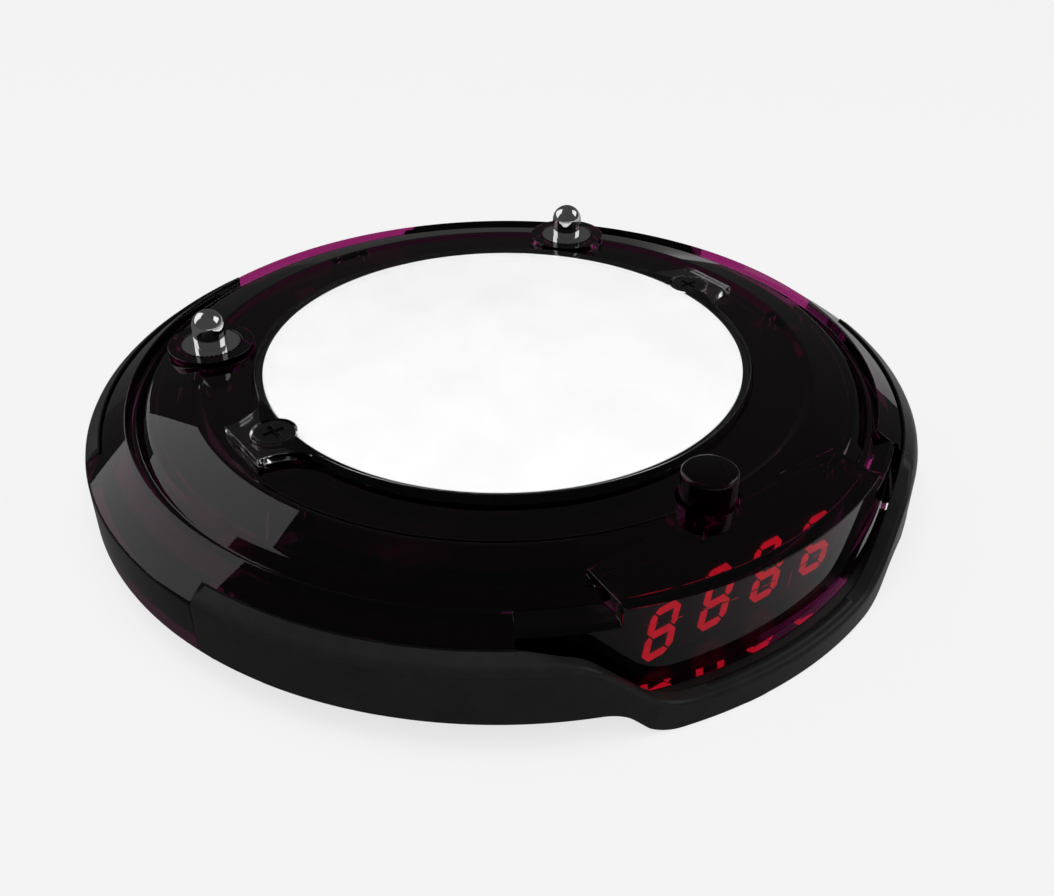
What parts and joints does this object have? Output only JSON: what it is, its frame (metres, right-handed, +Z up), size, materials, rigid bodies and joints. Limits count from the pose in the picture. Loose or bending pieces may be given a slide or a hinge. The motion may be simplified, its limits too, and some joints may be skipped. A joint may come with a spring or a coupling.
{
  "type": "guest pager",
  "caption": "Round coaster-style guest pager with a label disc under a clear cover, charging pins, a call button and a digit display.",
  "frame": {"origin": "on the housing's axis at the table", "axes": "+Z up, -Y towards the display"},
  "size_m": [0.104, 0.104, 0.0207],
  "materials": {
    "plum_plastic": "gloss",
    "case_black": "satin",
    "bumper_rubber": "satin",
    "foot_rubber": "matte",
    "label_white": "matte",
    "clear_plastic": "gloss",
    "black_screw": "satin",
    "steel": "satin",
    "pin_chrome": "gloss",
    "collar_metal": "satin",
    "contact_brass": "satin",
    "part_black": "matte",
    "digit_red": "gloss",
    "board_green": "satin",
    "light_white": "satin",
    "battery_silver": "satin"
  },
  "bodies": {
    "housing": {"battery": "battery_silver", "battery_pad": "foot_rubber", "bottom_case": "case_black", "buzzer": "part_black", "case_screw_1": "steel", "case_screw_2": "steel", "case_screw_3": "steel", "charge_contact_left": "contact_brass", "charge_contact_right": "contact_brass", "charge_pin_left": "pin_chrome", "charge_pin_right": "pin_chrome", "controller_chip": "part_black", "display_digit_1": "digit_red", "display_digit_2": "digit_red", "display_digit_3": "digit_red", "display_digit_4": "digit_red", "display_module": "part_black", "front_bumper": "bumper_rubber", "label_cover": "clear_plastic", "label_disc": "label_white", "label_screw_left": "black_screw", "label_screw_right": "black_screw", "main_board": "board_green", "motor_clamp": "foot_rubber", "pin_collar_left": "collar_metal", "pin_collar_right": "collar_metal", "pin_nut_left": "contact_brass", "pin_nut_right": "contact_brass", "radio_can": "steel", "rear_left_bumper": "bumper_rubber", "rear_right_bumper": "bumper_rubber", "rim_led_1": "light_white", "rim_led_2": "light_white", "rim_led_3": "light_white", "rim_led_4": "light_white", "rim_led_5": "light_white", "rim_led_6": "light_white", "rubber_foot_1": "foot_rubber", "rubber_foot_2": "foot_rubber", "rubber_foot_3": "foot_rubber", "switch_body": "part_black", "top_cover": "plum_plastic", "vibration_motor": "steel"},
    "button": {"call_button": "plum_plastic", "switch_plunger": "part_black"},
    "rotor": {"motor_shaft": "steel", "motor_weight": "steel"}
  },
  "joints": [
    {"name": "call_button_press", "type": "slide", "parent": "housing", "child": "button", "axis": [0, 0, -1], "range_m": [0, 0.0005], "stiffness_N_per_m": 600, "springref_m": -0.0002},
    {"name": "motor_spin", "type": "hinge", "parent": "housing", "child": "rotor", "pos_m": [-0.021, -0.02, 0.0101], "axis": [1, 0, 0], "continuous": true}
  ]
}
